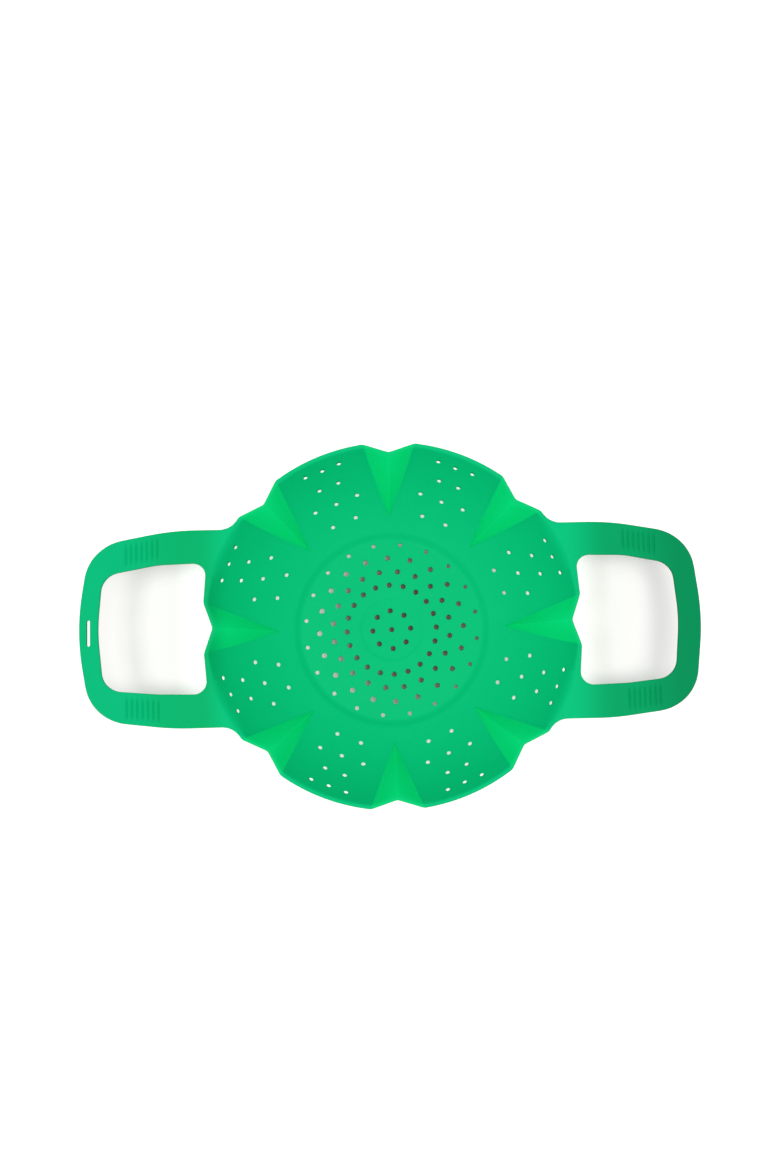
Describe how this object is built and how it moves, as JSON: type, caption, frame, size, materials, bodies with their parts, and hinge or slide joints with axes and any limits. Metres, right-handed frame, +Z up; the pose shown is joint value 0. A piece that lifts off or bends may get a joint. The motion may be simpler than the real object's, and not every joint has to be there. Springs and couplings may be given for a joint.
{
  "type": "silicone steamer basket",
  "caption": "Round flexible steamer basket: perforated floor on short feet, folding petals joined by pleats, and two flat loop handles that bend.",
  "frame": {"origin": "centre of the floor's outline on the plane that the feet stand on", "axes": "+Z up out of the bowl, +X along the two handles towards the one without a slot, +Y to the back"},
  "size_m": [0.3966, 0.2306, 0.0641],
  "materials": {
    "silicone_bowl": "satin, fine matt grain",
    "silicone_pleat": "satin, fine matt grain",
    "silicone_handle": "satin, fine matt grain",
    "silicone_foot": "satin, fine matt grain"
  },
  "bodies": {
    "root": {"floor": "silicone_bowl", "step_ring": "silicone_bowl", "foot_1": "silicone_foot", "foot_2": "silicone_foot", "foot_3": "silicone_foot", "foot_4": "silicone_foot"},
    "left_wing": {"petal_4": "silicone_bowl", "petal_5": "silicone_bowl", "pleat_4_a": "silicone_pleat", "pleat_4_b": "silicone_pleat", "left_handle_root_back": "silicone_handle", "left_handle_root_front": "silicone_handle"},
    "right_wing": {"petal_8": "silicone_bowl", "petal_1": "silicone_bowl", "pleat_8_a": "silicone_pleat", "pleat_8_b": "silicone_pleat", "right_handle_root_back": "silicone_handle", "right_handle_root_front": "silicone_handle"},
    "petal_2": {"petal_2": "silicone_bowl"},
    "petal_3": {"petal_3": "silicone_bowl"},
    "petal_6": {"petal_6": "silicone_bowl"},
    "petal_7": {"petal_7": "silicone_bowl"},
    "pleat_1_a": {"pleat_1_a": "silicone_pleat"},
    "pleat_1_b": {"pleat_1_b": "silicone_pleat"},
    "pleat_2_a": {"pleat_2_a": "silicone_pleat"},
    "pleat_2_b": {"pleat_2_b": "silicone_pleat"},
    "pleat_3_a": {"pleat_3_a": "silicone_pleat"},
    "pleat_3_b": {"pleat_3_b": "silicone_pleat"},
    "pleat_5_a": {"pleat_5_a": "silicone_pleat"},
    "pleat_5_b": {"pleat_5_b": "silicone_pleat"},
    "pleat_6_a": {"pleat_6_a": "silicone_pleat"},
    "pleat_6_b": {"pleat_6_b": "silicone_pleat"},
    "pleat_7_a": {"pleat_7_a": "silicone_pleat"},
    "pleat_7_b": {"pleat_7_b": "silicone_pleat"},
    "left_handle": {"left_handle": "silicone_handle"},
    "right_handle": {"right_handle": "silicone_handle"}
  },
  "joints": [
    {"name": "left_wing_fold", "type": "hinge", "parent": "root", "child": "left_wing", "pos_m": [-0.05303, 0, 0.02341], "axis": [0, 1, 0], "range_deg": [0, 9], "stiffness_Nm_per_rad": 0.3},
    {"name": "right_wing_fold", "type": "hinge", "parent": "root", "child": "right_wing", "pos_m": [0.05303, 0, 0.02341], "axis": [0, -1, 0], "range_deg": [0, 9], "stiffness_Nm_per_rad": 0.3},
    {"name": "petal_2_fold", "type": "hinge", "parent": "root", "child": "petal_2", "pos_m": [0.02652, 0.06402, 0.02341], "axis": [0.9239, -0.3827, 0], "range_deg": [0, 9], "stiffness_Nm_per_rad": 0.1},
    {"name": "petal_3_fold", "type": "hinge", "parent": "root", "child": "petal_3", "pos_m": [-0.02652, 0.06402, 0.02341], "axis": [0.9239, 0.3827, 0], "range_deg": [0, 9], "stiffness_Nm_per_rad": 0.1},
    {"name": "petal_6_fold", "type": "hinge", "parent": "root", "child": "petal_6", "pos_m": [-0.02652, -0.06402, 0.02341], "axis": [-0.9239, 0.3827, 0], "range_deg": [0, 9], "stiffness_Nm_per_rad": 0.1},
    {"name": "petal_7_fold", "type": "hinge", "parent": "root", "child": "petal_7", "pos_m": [0.02652, -0.06402, 0.02341], "axis": [-0.9239, -0.3827, 0], "range_deg": [0, 9], "stiffness_Nm_per_rad": 0.1},
    {"name": "pleat_1_a_fold", "type": "hinge", "parent": "right_wing", "child": "pleat_1_a", "pos_m": [0.05303, 0.05303, 0.02341], "axis": [0.6874, 0.2721, 0.6734], "range_deg": [0, 35.93]},
    {"name": "pleat_1_b_fold", "type": "hinge", "parent": "petal_2", "child": "pleat_1_b", "pos_m": [0.05303, 0.05303, 0.02341], "axis": [-0.3154, -0.6534, -0.6882], "range_deg": [0, 26.18]},
    {"name": "pleat_2_a_fold", "type": "hinge", "parent": "petal_2", "child": "pleat_2_a", "pos_m": [0, 0.075, 0.02341], "axis": [0.2762, 0.6645, 0.6944], "range_deg": [0, 23.9]},
    {"name": "pleat_2_b_fold", "type": "hinge", "parent": "petal_3", "child": "pleat_2_b", "pos_m": [0, 0.075, 0.02341], "axis": [0.2762, -0.6645, -0.6944], "range_deg": [0, 23.9]},
    {"name": "pleat_3_a_fold", "type": "hinge", "parent": "petal_3", "child": "pleat_3_a", "pos_m": [-0.05303, 0.05303, 0.02341], "axis": [-0.3154, 0.6534, 0.6882], "range_deg": [0, 26.18]},
    {"name": "pleat_3_b_fold", "type": "hinge", "parent": "left_wing", "child": "pleat_3_b", "pos_m": [-0.05303, 0.05303, 0.02341], "axis": [0.6874, -0.2721, -0.6734], "range_deg": [0, 35.93]},
    {"name": "pleat_5_a_fold", "type": "hinge", "parent": "left_wing", "child": "pleat_5_a", "pos_m": [-0.05303, -0.05303, 0.02341], "axis": [-0.6874, -0.2721, 0.6734], "range_deg": [0, 35.93]},
    {"name": "pleat_5_b_fold", "type": "hinge", "parent": "petal_6", "child": "pleat_5_b", "pos_m": [-0.05303, -0.05303, 0.02341], "axis": [0.3154, 0.6534, -0.6882], "range_deg": [0, 26.18]},
    {"name": "pleat_6_a_fold", "type": "hinge", "parent": "petal_6", "child": "pleat_6_a", "pos_m": [0, -0.075, 0.02341], "axis": [-0.2762, -0.6645, 0.6944], "range_deg": [0, 23.9]},
    {"name": "pleat_6_b_fold", "type": "hinge", "parent": "petal_7", "child": "pleat_6_b", "pos_m": [0, -0.075, 0.02341], "axis": [-0.2762, 0.6645, -0.6944], "range_deg": [0, 23.9]},
    {"name": "pleat_7_a_fold", "type": "hinge", "parent": "petal_7", "child": "pleat_7_a", "pos_m": [0.05303, -0.05303, 0.02341], "axis": [0.3154, -0.6534, 0.6882], "range_deg": [0, 26.18]},
    {"name": "pleat_7_b_fold", "type": "hinge", "parent": "right_wing", "child": "pleat_7_b", "pos_m": [0.05303, -0.05303, 0.02341], "axis": [-0.6874, 0.2721, -0.6734], "range_deg": [0, 35.93]},
    {"name": "left_handle_bend", "type": "hinge", "parent": "left_wing", "child": "left_handle", "pos_m": [-0.11746, 0, 0.06353], "axis": [0, 1, 0], "range_deg": [-15, 150], "stiffness_Nm_per_rad": 0.4, "springref_deg": 0.92},
    {"name": "right_handle_bend", "type": "hinge", "parent": "right_wing", "child": "right_handle", "pos_m": [0.11746, 0, 0.06353], "axis": [0, -1, 0], "range_deg": [-15, 150], "stiffness_Nm_per_rad": 0.4, "springref_deg": 0.92}
  ],
  "couplings": [
    {"joint": "right_wing_fold", "follows": "left_wing_fold", "ratio": 1},
    {"joint": "petal_2_fold", "follows": "left_wing_fold", "ratio": 1},
    {"joint": "petal_3_fold", "follows": "left_wing_fold", "ratio": 1},
    {"joint": "petal_6_fold", "follows": "left_wing_fold", "ratio": 1},
    {"joint": "petal_7_fold", "follows": "left_wing_fold", "ratio": 1},
    {"joint": "pleat_1_a_fold", "follows": "left_wing_fold", "ratio": 3.9913},
    {"joint": "pleat_1_b_fold", "follows": "left_wing_fold", "ratio": 2.9073},
    {"joint": "pleat_2_a_fold", "follows": "left_wing_fold", "ratio": 2.6544},
    {"joint": "pleat_2_b_fold", "follows": "left_wing_fold", "ratio": 2.6544},
    {"joint": "pleat_3_a_fold", "follows": "left_wing_fold", "ratio": 2.9073},
    {"joint": "pleat_3_b_fold", "follows": "left_wing_fold", "ratio": 3.9913},
    {"joint": "pleat_5_a_fold", "follows": "left_wing_fold", "ratio": 3.9913},
    {"joint": "pleat_5_b_fold", "follows": "left_wing_fold", "ratio": 2.9073},
    {"joint": "pleat_6_a_fold", "follows": "left_wing_fold", "ratio": 2.6544},
    {"joint": "pleat_6_b_fold", "follows": "left_wing_fold", "ratio": 2.6544},
    {"joint": "pleat_7_a_fold", "follows": "left_wing_fold", "ratio": 2.9073},
    {"joint": "pleat_7_b_fold", "follows": "left_wing_fold", "ratio": 3.9913}
  ]
}
